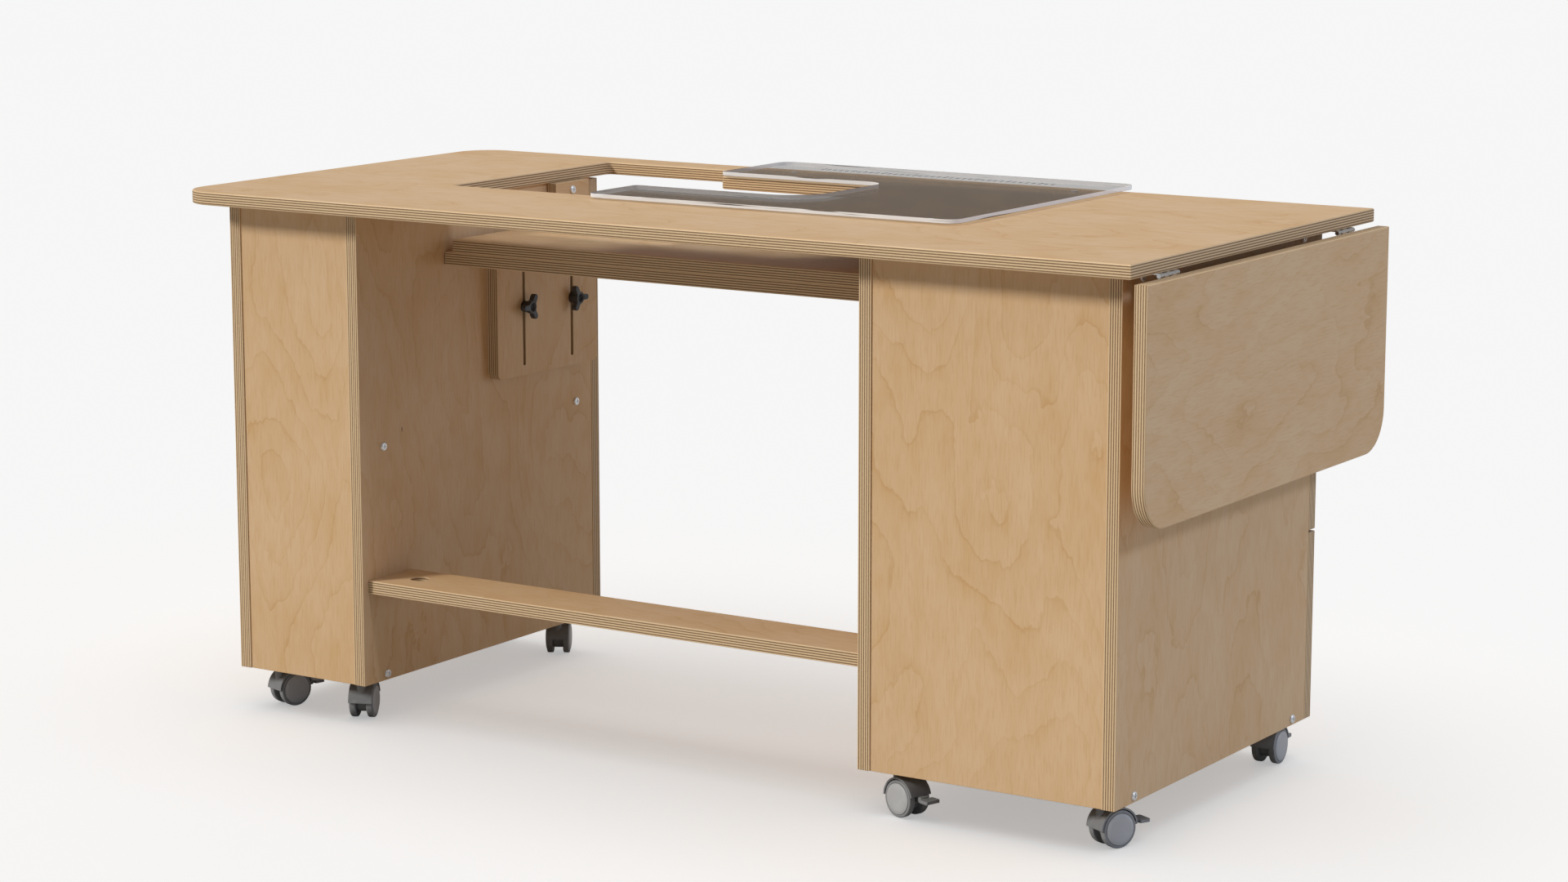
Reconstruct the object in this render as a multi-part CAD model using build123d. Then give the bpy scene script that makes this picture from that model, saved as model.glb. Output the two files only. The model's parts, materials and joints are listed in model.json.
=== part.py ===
from build123d import *
import os
from math import cos, radians, sin

os.makedirs("parts", exist_ok=True)

# Sewing table in birch plywood, in millimetres.
# +Z up, origin at the floor under the middle of the whole table.
# The person who sews sits at the +Y side, and the drop leaf hangs at the +X end.

# Table top
TOP_WIDTH = 1466.0
TOP_DEPTH = 684.0
TOP_THICKNESS = 18.0
TOP_CORNER = 55.0
ROUND_OVER = 2.0
PANEL_EDGE = 0.8

# Pedestals
PANEL = 18.0
PEDESTAL_HEIGHT = 653.5
SIDE_DEPTH = 535.0
BACK_OVERHANG = 50.0
RIGHT_OVERHANG = 36.0
RIGHT_WIDTH = 364.0
LEFT_OVERHANG = 52.0
LEFT_WIDTH = 222.0
BACK_INSET = 2.0
SHELF_CENTRE = 327.0

# Foot shelf between the pedestals
FOOT_SHELF_HEIGHT = 128.5
FOOT_SHELF_DEPTH = 94.0
FOOT_SHELF_INSET = 12.0
CABLE_HOLE = 26.0
CABLE_HOLE_INSET = 52.0

# Opening in the top: a wide bay on the left and an arm slot to its right
BAY_INSET = 6.4
BAY_WIDTH = 247.0
BAY_DEPTH = 374.0
FRONT_RAIL = 58.0
BAY_CORNER = 8.0
ARM_LENGTH = 290.0
ARM_WIDTH = 225.0
ARM_FRONT = 76.0
ARM_CORNER = 60.0

# Clear insert plate on small round feet
INSERT_WIDTH = 572.0
INSERT_DEPTH = 493.0
INSERT_THICKNESS = 6.0
INSERT_CORNER = 20.0
INSERT_OVERHANG = 24.0
INSERT_SETBACK = 6.0
CUT_MARGIN = 8.0
CUT_LENGTH = 274.0
CUT_BACK_CORNER = 60.0
CUT_FRONT_CORNER = 30.0
FOOT_DIAMETER = 10.0
FOOT_HEIGHT = 2.0
FOOT_INSET_X = 60.0
FOOT_INSET_Y = 40.0
FOOT_FRONT_INSET = 68.0

# Platform under the opening, with its slotted side plates
PLATFORM_DROP = 74.0
PLATFORM_BACK = 190.0
PLATFORM_DEPTH = 350.0
PLATFORM_PLY = 18.0
BEARER_CLEARANCE = 1.0
DECK_SETBACK = 15.0
PLATE_THICKNESS = 18.0
PLATE_WIDTH = 238.0
PLATE_HEIGHT = 174.5
PLATE_BACK = 97.0
PLATE_CORNER = 10.0
SLOT_SPACING = 115.0
SLOT_WIDTH = 6.6
SLOT_FROM_BOTTOM = 14.0
SLOT_FROM_TOP = 21.0
SLIDE_GAP = 0.3

# Stop cleats under the top
CLEAT_LENGTH = 78.0
CLEAT_HEIGHT = 24.0
CLEAT_THICKNESS = 18.0
CLEAT_FRONT = 28.0

# Clamp bolts and three-lobed knobs
BOLT_RADIUS = 3.0
BOLT_HEAD_RADIUS = 7.5
BOLT_HEAD_HEIGHT = 3.0
BOLT_ABOVE_PLATE_FOOT = 99.0
KNOB_HUB_RADIUS = 8.0
KNOB_HUB_LENGTH = 8.0
KNOB_CORE_RADIUS = 9.0
KNOB_LOBE_LENGTH = 8.0
KNOB_RADIUS = 20.0
KNOB_TIP_RADIUS = 4.0
KNOB_RECESS = 3.0
KNOB_BACK_TURN = 180.0
KNOB_FRONT_TURN = 0.0

# Drop leaf and its hinges
LEAF_LENGTH = 294.6
LEAF_CORNER = 55.0
LEAF_RAISED_GAP = 3.0
HINGE_OFFSET = 3.05
HINGE_RADIUS = 2.75
HINGE_PLATE = 1.5
HINGE_PLATE_WIDTH = 26.0
HINGE_LENGTH = 50.0
HINGE_END_INSET = 68.0
HINGE_PIN_RADIUS = 1.3
KNUCKLES = 5
KNUCKLE_GAP = 0.3

# Door of the left pedestal
FRONT_THICKNESS = 18.0
FRONT_STANDOFF = 1.0
FRONT_TOP_REVEAL = 3.5
FINGER_HOLE = 34.0
FINGER_HOLE_INSET = 40.0
DOOR_HINGE_INSET = 90.0

# Drawers of the right pedestal
BOTTOM_FRONT = 251.5
FRONT_GAP = 3.0
DRAWER_COUNT = 3
FINGER_SLOT_LENGTH = 96.0
FINGER_SLOT_HEIGHT = 30.0
FINGER_SLOT_DROP = 22.0
BOX_WALL = 15.0
BOX_BOTTOM = 6.0
BOX_SIDE_GAP = 5.0
BOX_BACK_GAP = 25.0
BOX_TOP_DROP = 62.0
BOX_BOTTOM_RISE = 30.0
RUNNER_HEIGHT = 15.0
RUNNER_BITE = 7.0
RUNNER_CENTRE = 60.0
RUNNER_CLEARANCE = 0.3

# Screws
SCREW_RADIUS = 2.5
SCREW_HEAD_RADIUS = 6.0
SCREW_HEAD_HEIGHT = 3.0
SCREW_HEAD_ROUND = 1.8
SCREW_STEM_CLEARANCE = 2.0
SCREW_SHORT = 30.0
SCREW_FIT = 0.05
RECESS_LENGTH = 6.4
RECESS_WIDTH = 1.4
RECESS_DEPTH = 1.6
SCREW_BACK_INSET = 49.0
SCREW_FRONT_INSET = 39.0

# Twin-wheel casters
CASTER_HEIGHT = 59.0
CASTER_INSET = 38.0
CASTER_TRAIL = 17.0
WHEEL_RADIUS = 24.0
TREAD_WIDTH = 9.0
WHEEL_GAP = 15.0
CAP_RADIUS = 20.0
CAP_DOME = 2.5
CAP_ROUND = 2.0
AXLE_RADIUS = 2.5
AXLE_BOSS_RADIUS = 16.0
RUNNING_FIT = 0.08
HOOD_CLEARANCE = 1.2
HOOD_WALL = 2.2
HOOD_FRONT_ANGLE = 178.0
HOOD_REAR_ANGLE = 14.0
WEB_CLEARANCE = 0.6
TOWER_RADIUS = 6.6
TOWER_GAP = 0.3
STEM_RADIUS = 4.0
STEM_LENGTH = 15.0
PEDAL_PIVOT_ANGLE = 6.0
PEDAL_PIVOT_RADIUS = 31.0
PEDAL_LUG_RADIUS = 3.6
PEDAL_LUG_WIDTH = 7.0
PEDAL_CHEEK = 2.6
PEDAL_PIN_RADIUS = 1.4
PEDAL_LENGTH = 15.0
PEDAL_WIDTH = 22.0
PEDAL_THICKNESS = 4.0
PEDAL_GAP = 0.4

# Swivel angle of each caster, counted from +X, and whether it carries a brake pedal
CASTER_STANCES = {
    "left_back_outer": (73.0, True),
    "left_back_inner": (115.5, True),
    "left_front_outer": (40.0, False),
    "left_front_inner": (121.0, False),
    "right_back_inner": (-18.0, True),
    "right_back_outer": (64.0, True),
    "right_front_inner": (150.0, False),
    "right_front_outer": (93.0, True),
}

# Levels and planes worked out from the sizes above
leaf_axis_out = LEAF_RAISED_GAP / 2
overall_width = TOP_WIDTH + leaf_axis_out + HINGE_OFFSET + TOP_THICKNESS
overall_depth = TOP_DEPTH + INSERT_OVERHANG
top_left = -overall_width / 2
top_right = top_left + TOP_WIDTH
top_back = -overall_depth / 2
top_front = top_back + TOP_DEPTH
right_out = top_right - RIGHT_OVERHANG
right_in = right_out - RIGHT_WIDTH
left_out = top_left + LEFT_OVERHANG
left_in = left_out + LEFT_WIDTH
side_back = top_back + BACK_OVERHANG
side_front = side_back + SIDE_DEPTH
base = CASTER_HEIGHT
under_top = base + PEDESTAL_HEIGHT
surface = under_top + TOP_THICKNESS
inner_back = side_back + BACK_INSET + PANEL
shelf_bottom = base + SHELF_CENTRE - PANEL / 2
screw_rows = (side_back + SCREW_BACK_INSET, side_front - SCREW_FRONT_INSET)
screw_hole = SCREW_RADIUS + SCREW_FIT
screw_long = CASTER_INSET - STEM_RADIUS - SCREW_STEM_CLEARANCE
front_back_face = side_front + FRONT_STANDOFF
front_face = front_back_face + FRONT_THICKNESS
front_top = under_top - FRONT_TOP_REVEAL
deck_top = surface - PLATFORM_DROP
bearer_bottom = deck_top - 2 * PLATFORM_PLY
plate_back = side_back + PLATFORM_BACK + PLATE_BACK
plate_bottom = bearer_bottom - PLATE_HEIGHT
bolt_rows = tuple(plate_back + PLATE_WIDTH / 2 + s * SLOT_SPACING / 2 for s in (-1, 1))
bolt_level = plate_bottom + BOLT_ABOVE_PLATE_FOOT
platform_back = side_back + PLATFORM_BACK
bay_left = left_in + BAY_INSET
bay_right = bay_left + BAY_WIDTH
bay_front = top_front - FRONT_RAIL
bay_back = bay_front - BAY_DEPTH
arm_end = bay_right + ARM_LENGTH
arm_front = bay_front - ARM_FRONT
arm_back = arm_front - ARM_WIDTH
insert_left = bay_right + INSERT_SETBACK
insert_front = top_front + INSERT_OVERHANG
insert_back = insert_front - INSERT_DEPTH
insert_bottom = surface + FOOT_HEIGHT
foot_back = side_back + FOOT_SHELF_INSET
foot_front = foot_back + FOOT_SHELF_DEPTH
foot_screw_rows = (foot_back + FOOT_SHELF_DEPTH / 4, foot_front - FOOT_SHELF_DEPTH / 4)
cleat_front = side_front - CLEAT_FRONT
cleat_back = cleat_front - CLEAT_LENGTH
cleat_middle = (cleat_back + cleat_front) / 2


def block(x, y, z):
    """Box between two planes on each axis."""
    corner = Pos(min(x), min(y), min(z))
    lengths = [max(pair) - min(pair) for pair in (x, y, z)]
    return corner * Box(*lengths, align=(Align.MIN, Align.MIN, Align.MIN))


def board(x, y, z):
    """Plywood panel with its arrises taken off."""
    panel = block(x, y, z)
    return fillet(panel.edges(), PANEL_EDGE)


def rod(start, direction, radius, length):
    """Cylinder from a point along a direction."""
    plane = Plane(origin=start, z_dir=direction)
    return extrude(plane * Circle(radius), length)


def outline_plate(points, radii, low, high, edge):
    """Flat plate from an outline in plan, its corners rounded, with its rims eased."""
    face = make_face(Polyline(*points, close=True))
    for point, radius in zip(points, radii):
        if radius:
            corner = face.vertices().sort_by_distance(Vector(*point))[0]
            face = fillet(corner, radius)
    plate = Pos(0, 0, low) * extrude(face, high - low)
    if edge:
        rims = plate.edges().filter_by(Plane.XY)
        plate = fillet(rims, edge)
    return plate


def save(name, shape):
    """Write one piece, or one group of separate solids, to its own file."""
    if isinstance(shape, list):
        shape = Compound(children=[solid for piece in shape for solid in piece.solids()])
    export_step(shape, f"parts/{name}.step")


def screw(seat, direction, length):
    """Pan-head screw, its head standing on the seat and its shank going along the direction."""
    seat = Vector(*seat)
    inward = Vector(*direction)
    head = Plane(origin=seat, z_dir=-inward)
    pan = extrude(head * Circle(SCREW_HEAD_RADIUS), SCREW_HEAD_HEIGHT)
    crown = pan.edges().filter_by(GeomType.CIRCLE).sort_by_distance(seat)[-1]
    pan = fillet(crown, SCREW_HEAD_ROUND)
    cross = Rectangle(RECESS_LENGTH, RECESS_WIDTH) + Rectangle(RECESS_WIDTH, RECESS_LENGTH)
    top = head.offset(SCREW_HEAD_HEIGHT)
    pan -= extrude(top * cross, -RECESS_DEPTH)
    return pan + rod(seat, direction, SCREW_RADIUS, length)


def screw_list():
    """Every carcass screw as seat, direction and shank length."""
    rows = []
    levels = (base + PANEL / 2, under_top - PANEL / 2)
    shelf_levels = levels + (base + SHELF_CENTRE,)
    faces = (
        (left_out, 1, shelf_levels, False),
        (left_in, -1, shelf_levels, True),
        (right_in, 1, levels, True),
        (right_out, -1, levels, False),
    )
    for x, inward, heights, inner in faces:
        for y in screw_rows:
            for z in heights:
                under_cleat = inner and cleat_back < y < cleat_front and z > under_top - CLEAT_HEIGHT
                if not under_cleat:
                    rows.append(((x, y, z), (inward, 0, 0), screw_long))
    for y in foot_screw_rows:
        z = base + FOOT_SHELF_HEIGHT + PANEL / 2
        rows.append(((left_in - PANEL, y, z), (1, 0, 0), screw_long))
        rows.append(((right_in + PANEL, y, z), (-1, 0, 0), screw_long))
    z = under_top - CLEAT_HEIGHT / 2
    rows.append(((left_in + CLEAT_THICKNESS, cleat_middle, z), (-1, 0, 0), SCREW_SHORT))
    rows.append(((right_in - CLEAT_THICKNESS, cleat_middle, z), (1, 0, 0), SCREW_SHORT))
    for low, high in ((left_out, left_in), (right_in, right_out)):
        for x in (low + 2 * PANEL, high - 2 * PANEL):
            for y in screw_rows:
                rows.append(((x, y, under_top - PANEL), (0, 0, 1), SCREW_SHORT))
    return rows


screws = screw_list()


def drilled(panel):
    """Panel with the screw holes that pass through or into it."""
    box = panel.bounding_box()
    for seat, direction, length in screws:
        start = Vector(*seat)
        end = start + Vector(*direction) * length
        low = [min(a, b) - screw_hole for a, b in zip(start, end)]
        high = [max(a, b) + screw_hole for a, b in zip(start, end)]
        if all(l < b and h > a for l, h, a, b in zip(low, high, box.min, box.max)):
            panel -= rod(seat, direction, screw_hole, length + SCREW_FIT)
    return panel


# Table top
top_points = [
    (top_left, top_back),
    (top_right, top_back),
    (top_right, top_front),
    (top_left, top_front),
]
top = outline_plate(top_points, (TOP_CORNER, 0, 0, TOP_CORNER), under_top, surface, 0)
opening_points = [
    (bay_left, bay_back),
    (bay_right, bay_back),
    (bay_right, arm_back),
    (arm_end, arm_back),
    (arm_end, arm_front),
    (bay_right, arm_front),
    (bay_right, bay_front),
    (bay_left, bay_front),
]
opening_radii = (BAY_CORNER,) * 3 + (ARM_CORNER,) * 2 + (BAY_CORNER,) * 3
top -= outline_plate(opening_points, opening_radii, under_top, surface, 0)
top = fillet(top.edges().filter_by(Plane.XY), ROUND_OVER)
save("table_top", drilled(top))

# Pedestals
pedestals = (
    ("left", left_out, left_in, ("outer", "inner")),
    ("right", right_in, right_out, ("inner", "outer")),
)
for side, low, high, places in pedestals:
    for place, plane in zip(places, (low, high - PANEL)):
        panel = drilled(board((plane, plane + PANEL), (side_back, side_front), (base, under_top)))
        if place == "inner":
            for y in bolt_rows:
                panel -= rod((plane, y, bolt_level), (1, 0, 0), BOLT_RADIUS + SCREW_FIT, PANEL)
        save(f"{side}_{place}_side", panel)
    inside = (low + PANEL, high - PANEL)
    save(f"{side}_back", drilled(board(inside, (side_back + BACK_INSET, inner_back), (base, under_top))))
    bottom = drilled(board(inside, (inner_back, side_front), (base, base + PANEL)))
    for x in (low + CASTER_INSET, high - CASTER_INSET):
        for y in (side_back + CASTER_INSET, side_front - CASTER_INSET):
            bottom -= rod((x, y, base), (0, 0, 1), STEM_RADIUS + RUNNING_FIT, STEM_LENGTH + TOWER_GAP)
    save(f"{side}_bottom", bottom)
left_inside = (left_out + PANEL, left_in - PANEL)
right_inside = (right_in + PANEL, right_out - PANEL)
depth_inside = (inner_back, side_front)
save("left_shelf", drilled(board(left_inside, depth_inside, (shelf_bottom, shelf_bottom + PANEL))))
board_levels = (under_top - PANEL, under_top)
top_boards = [board(span, depth_inside, board_levels) for span in (left_inside, right_inside)]
save("pedestal_top_boards", [drilled(piece) for piece in top_boards])

# Foot shelf with its cable hole
shelf_level = base + FOOT_SHELF_HEIGHT
foot_shelf = board((left_in, right_in), (foot_back, foot_front), (shelf_level, shelf_level + PANEL))
hole_x = left_in + CABLE_HOLE_INSET
hole_y = (foot_back + foot_front) / 2
foot_shelf -= rod((hole_x, hole_y, shelf_level), (0, 0, 1), CABLE_HOLE / 2, PANEL)
save("foot_shelf", drilled(foot_shelf))

# Stop cleats
cleat_levels = (under_top - CLEAT_HEIGHT, under_top)
cleat_depth = (cleat_back, cleat_front)
cleats = [
    board((left_in, left_in + CLEAT_THICKNESS), cleat_depth, cleat_levels),
    board((right_in - CLEAT_THICKNESS, right_in), cleat_depth, cleat_levels),
]
save("top_cleats", [drilled(piece) for piece in cleats])
save("carcass_screws", [screw(*entry) for entry in screws])

# Platform: deck on bearer, with a slotted plate under each end
deck = board(
    (left_in + DECK_SETBACK, right_in - DECK_SETBACK),
    (platform_back, platform_back + PLATFORM_DEPTH),
    (deck_top - PLATFORM_PLY, deck_top),
)
save("platform_deck", deck)
bearer = board(
    (left_in + BEARER_CLEARANCE, right_in - BEARER_CLEARANCE),
    (platform_back, platform_back + PLATFORM_DEPTH),
    (bearer_bottom, bearer_bottom + PLATFORM_PLY),
)
save("platform_bearer", bearer)


def slotted_plate(inner):
    """Upright plate with two slots that its clamp bolts run in."""
    x = (inner, inner + PLATE_THICKNESS)
    plate = block(x, (plate_back, plate_back + PLATE_WIDTH), (plate_bottom, bearer_bottom))
    corners = plate.edges().filter_by(Axis.X).group_by(Axis.Z)[0]
    plate = fillet(corners, PLATE_CORNER)
    slot_low = plate_bottom + SLOT_FROM_BOTTOM
    slot_high = bearer_bottom - SLOT_FROM_TOP
    half = SLOT_WIDTH / 2
    for y in bolt_rows:
        plate -= block(x, (y - half, y + half), (slot_low + half, slot_high - half))
        for z in (slot_low + half, slot_high - half):
            plate -= rod((inner, y, z), (1, 0, 0), half, PLATE_THICKNESS)
    return plate


plate_planes = (left_in + SLIDE_GAP, right_in - SLIDE_GAP - PLATE_THICKNESS)
save("slot_plates", [slotted_plate(plane) for plane in plate_planes])

# Clamp bolts, with their heads inside the pedestals, and the knobs on them
knob_start = PANEL + SLIDE_GAP + PLATE_THICKNESS + SLIDE_GAP
knob_length = KNOB_HUB_LENGTH + KNOB_LOBE_LENGTH
bolt_length = knob_start + knob_length - KNOB_RECESS


def clamp_bolt(x, y, direction):
    """Carriage bolt through an inner side."""
    start = (x, y, bolt_level)
    head = rod(start, (-direction, 0, 0), BOLT_HEAD_RADIUS, BOLT_HEAD_HEIGHT)
    return head + rod(start, (direction, 0, 0), BOLT_RADIUS, bolt_length)


def knob(x, y, direction, turn):
    """Three-lobed knob: a round hub against the plate, then three rounded arms."""
    plane = Plane(origin=(x, y, bolt_level), x_dir=(0, 1, 0), z_dir=(direction, 0, 0))
    hub = extrude(Circle(KNOB_HUB_RADIUS), knob_length)
    reach = KNOB_RADIUS - KNOB_TIP_RADIUS
    lobes = Circle(KNOB_CORE_RADIUS)
    for arm in range(3):
        angle = radians(turn + 120 * arm)
        middle = Pos(reach / 2 * cos(angle), reach / 2 * sin(angle))
        lobes += middle * Rot(0, 0, turn + 120 * arm) * Rectangle(reach, 2 * KNOB_TIP_RADIUS)
        lobes += Pos(reach * cos(angle), reach * sin(angle)) * Circle(KNOB_TIP_RADIUS)
    head = Pos(0, 0, KNOB_HUB_LENGTH) * extrude(lobes, KNOB_LOBE_LENGTH)
    bore = extrude(Circle(BOLT_RADIUS + RUNNING_FIT), knob_length)
    return plane * (hub + head - bore)


left_bolt_seat = left_in - PANEL
right_bolt_seat = right_in + PANEL
bolts = []
number = 0
for seat, direction in ((left_bolt_seat, 1), (right_bolt_seat, -1)):
    for y, turn in zip(bolt_rows, (KNOB_BACK_TURN, KNOB_FRONT_TURN)):
        number += 1
        bolts.append(clamp_bolt(seat, y, direction))
        save(f"knob_{number}", knob(seat + direction * knob_start, y, direction, turn))
save("clamp_bolts", bolts)


# Hinges: plates and knuckles laid out along two directions from the pin
def hinge_half(centre, along, away, face, own):
    """One hinge leaf: its plate runs away from the pin and lies against the face direction."""
    centre, along, away, face = (Vector(*v) for v in (centre, along, away, face))
    inner = HINGE_OFFSET - HINGE_PLATE
    step = HINGE_LENGTH / KNUCKLES

    def slab(reach, span):
        depths = (inner, HINGE_OFFSET)
        corners = [centre + away * r + face * d + along * s for r in reach for d in depths for s in span]
        axes = [[getattr(c, axis) for c in corners] for axis in "XYZ"]
        return block(*((min(values), max(values)) for values in axes))

    relief = HINGE_RADIUS + KNUCKLE_GAP
    half = slab((relief, HINGE_PLATE_WIDTH), (-HINGE_LENGTH / 2, HINGE_LENGTH / 2))
    for index in range(KNUCKLES):
        if index % 2 == own:
            start = -HINGE_LENGTH / 2 + index * step + KNUCKLE_GAP / 2
            end = start + step - KNUCKLE_GAP
            half += slab((0, relief), (start, end))
            half += rod(centre + along * start, along, HINGE_RADIUS, end - start)
    bore = HINGE_PIN_RADIUS + RUNNING_FIT
    half -= rod(centre - along * HINGE_LENGTH, along, bore, 2 * HINGE_LENGTH)
    return half


leaf_axis_x = top_right + leaf_axis_out
leaf_axis_z = under_top - HINGE_OFFSET
hinge_middle_inset = HINGE_END_INSET + HINGE_LENGTH / 2
leaf_hinge_middles = (top_back + hinge_middle_inset, top_front - hinge_middle_inset)
leaf_centres = [(leaf_axis_x, y, leaf_axis_z) for y in leaf_hinge_middles]
door_axis_x = left_out - HINGE_OFFSET
door_axis_y = side_front + FRONT_STANDOFF / 2
door_hinge_levels = (base + DOOR_HINGE_INSET, front_top - DOOR_HINGE_INSET)
door_centres = [(door_axis_x, door_axis_y, z) for z in door_hinge_levels]
along_y = (0, 1, 0)
along_z = (0, 0, 1)
save("leaf_hinge_fixed", [hinge_half(c, along_y, (-1, 0, 0), (0, 0, 1), 0) for c in leaf_centres])
save("leaf_hinge_moving", [hinge_half(c, along_y, (0, 0, -1), (1, 0, 0), 1) for c in leaf_centres])
save("door_hinge_fixed", [hinge_half(c, along_z, (0, -1, 0), (1, 0, 0), 0) for c in door_centres])
save("door_hinge_moving", [hinge_half(c, along_z, (0, 1, 0), (1, 0, 0), 1) for c in door_centres])


def hinge_pin(centre, along):
    """Pin as long as its hinge."""
    start = Vector(*centre) - Vector(*along) * (HINGE_LENGTH / 2)
    return rod(start, along, HINGE_PIN_RADIUS, HINGE_LENGTH)


save("leaf_hinge_pins", [hinge_pin(centre, along_y) for centre in leaf_centres])
save("door_hinge_pins", [hinge_pin(centre, along_z) for centre in door_centres])

# Drop leaf, hanging
leaf_inner = leaf_axis_x + HINGE_OFFSET
leaf_high = leaf_axis_z - leaf_axis_out
leaf_low = leaf_high - LEAF_LENGTH
leaf = block((leaf_inner, leaf_inner + TOP_THICKNESS), (top_back, top_front), (leaf_low, leaf_high))
leaf = fillet(leaf.edges().filter_by(Axis.X).group_by(Axis.Z)[0], LEAF_CORNER)
leaf = fillet(leaf.edges().filter_by(Plane.YZ), ROUND_OVER)
save("drop_leaf", leaf)

# Clear insert with an open cut-out on its left, standing on four round feet
cut_back = arm_back + CUT_MARGIN
cut_front = arm_front - CUT_MARGIN
cut_end = insert_left + CUT_LENGTH
insert_right = insert_left + INSERT_WIDTH
insert_points = [
    (insert_left, insert_back),
    (insert_right, insert_back),
    (insert_right, insert_front),
    (insert_left, insert_front),
    (insert_left, cut_front),
    (cut_end, cut_front),
    (cut_end, cut_back),
    (insert_left, cut_back),
]
insert_radii = (INSERT_CORNER,) * 4 + (CUT_MARGIN, CUT_FRONT_CORNER, CUT_BACK_CORNER, CUT_MARGIN)
insert_top = insert_bottom + INSERT_THICKNESS
insert = outline_plate(insert_points, insert_radii, insert_bottom, insert_top, PANEL_EDGE)
save("clear_insert", insert)
feet = []
for x in (insert_left + FOOT_INSET_X, insert_right - FOOT_INSET_X):
    for y in (insert_back + FOOT_INSET_Y, insert_front - FOOT_FRONT_INSET):
        feet.append(rod((x, y, surface), (0, 0, 1), FOOT_DIAMETER / 2, FOOT_HEIGHT))
save("insert_feet", feet)

# Door with a round finger hole
door = board((left_out, left_in), (front_back_face, front_face), (base, front_top))
door_hole = (left_in - FINGER_HOLE_INSET, front_back_face, (base + front_top) / 2)
door -= rod(door_hole, (0, 1, 0), FINGER_HOLE / 2, FRONT_THICKNESS)
save("door", door)

# Drawers: a front, and a box that runs on a wooden strip on each side
upper_front = (front_top - base - BOTTOM_FRONT - (DRAWER_COUNT - 1) * FRONT_GAP) / (DRAWER_COUNT - 1)
box_low = right_in + PANEL + BOX_SIDE_GAP
box_high = right_out - PANEL - BOX_SIDE_GAP
box_back = inner_back + BOX_BACK_GAP
runner_reach = BOX_SIDE_GAP + RUNNER_BITE
runners = []


def drawer_box(low, high, runner_level):
    """Two grooved sides, a back and a bottom."""
    depth = (box_back, front_back_face)
    sides = [board((box_low, box_low + BOX_WALL), depth, (low, high))]
    sides.append(board((box_high - BOX_WALL, box_high), depth, (low, high)))
    groove = RUNNER_BITE + RUNNER_CLEARANCE
    levels = (runner_level - RUNNER_CLEARANCE, runner_level + RUNNER_HEIGHT + RUNNER_CLEARANCE)
    grooves = ((box_low, box_low + groove), (box_high - groove, box_high))
    sides = [side - block(span, depth, levels) for side, span in zip(sides, grooves)]
    within = (box_low + BOX_WALL, box_high - BOX_WALL)
    back = board(within, (box_back, box_back + BOX_WALL), (low + BOX_BOTTOM, high))
    bottom = block(within, depth, (low, low + BOX_BOTTOM))
    return sides + [back, bottom]


level = base
for index in range(DRAWER_COUNT):
    height = BOTTOM_FRONT if index == 0 else upper_front
    front = board((right_in, right_out), (front_back_face, front_face), (level, level + height))
    grip_level = level + height - FINGER_SLOT_DROP - FINGER_SLOT_HEIGHT / 2
    reach = (FINGER_SLOT_LENGTH - FINGER_SLOT_HEIGHT) / 2
    middle = (right_in + right_out) / 2
    span = (grip_level - FINGER_SLOT_HEIGHT / 2, grip_level + FINGER_SLOT_HEIGHT / 2)
    front -= block((middle - reach, middle + reach), (front_back_face, front_face), span)
    for x in (middle - reach, middle + reach):
        front -= rod((x, front_back_face, grip_level), (0, 1, 0), FINGER_SLOT_HEIGHT / 2, FRONT_THICKNESS)
    save(f"drawer_{index + 1}_front", front)
    runner_level = level + RUNNER_CENTRE - RUNNER_HEIGHT / 2
    box = drawer_box(level + BOX_BOTTOM_RISE, level + height - BOX_TOP_DROP, runner_level)
    save(f"drawer_{index + 1}_box", box)
    run = (box_back, side_front)
    heights = (runner_level, runner_level + RUNNER_HEIGHT)
    runners.append(block((right_in + PANEL, right_in + PANEL + runner_reach), run, heights))
    runners.append(block((right_out - PANEL - runner_reach, right_out - PANEL), run, heights))
    level += height + FRONT_GAP
save("drawer_runners", runners)

# Casters, built with the swivel pin on the Z axis and the axle behind it on +X
hood_inner = WHEEL_RADIUS + HOOD_CLEARANCE
hood_outer = hood_inner + HOOD_WALL
web_half = WHEEL_GAP / 2 - WEB_CLEARANCE
hood_half = WHEEL_GAP / 2 + TREAD_WIDTH
axle = Vector(CASTER_TRAIL, 0, WHEEL_RADIUS)
tower_top = CASTER_HEIGHT - TOWER_GAP
pivot_x = CASTER_TRAIL + PEDAL_PIVOT_RADIUS * cos(radians(PEDAL_PIVOT_ANGLE))
pivot_z = WHEEL_RADIUS + PEDAL_PIVOT_RADIUS * sin(radians(PEDAL_PIVOT_ANGLE))


def across(sketch, half):
    """Extrude a sketch drawn in the wheel's plane evenly to both sides of it."""
    return extrude(Plane.XZ * sketch, half, both=True)


def hood_sector(radius):
    """Pie slice about the axle between the hood's rear and front ends."""
    reach = 3 * radius
    middle = (HOOD_FRONT_ANGLE + HOOD_REAR_ANGLE) / 2
    angles = (HOOD_REAR_ANGLE, middle, HOOD_FRONT_ANGLE)
    rays = [(reach * cos(radians(a)), reach * sin(radians(a))) for a in angles]
    wedge = make_face(Polyline((0, 0), *rays, close=True))
    return Pos(CASTER_TRAIL, WHEEL_RADIUS) * (Circle(radius) & wedge)


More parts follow.
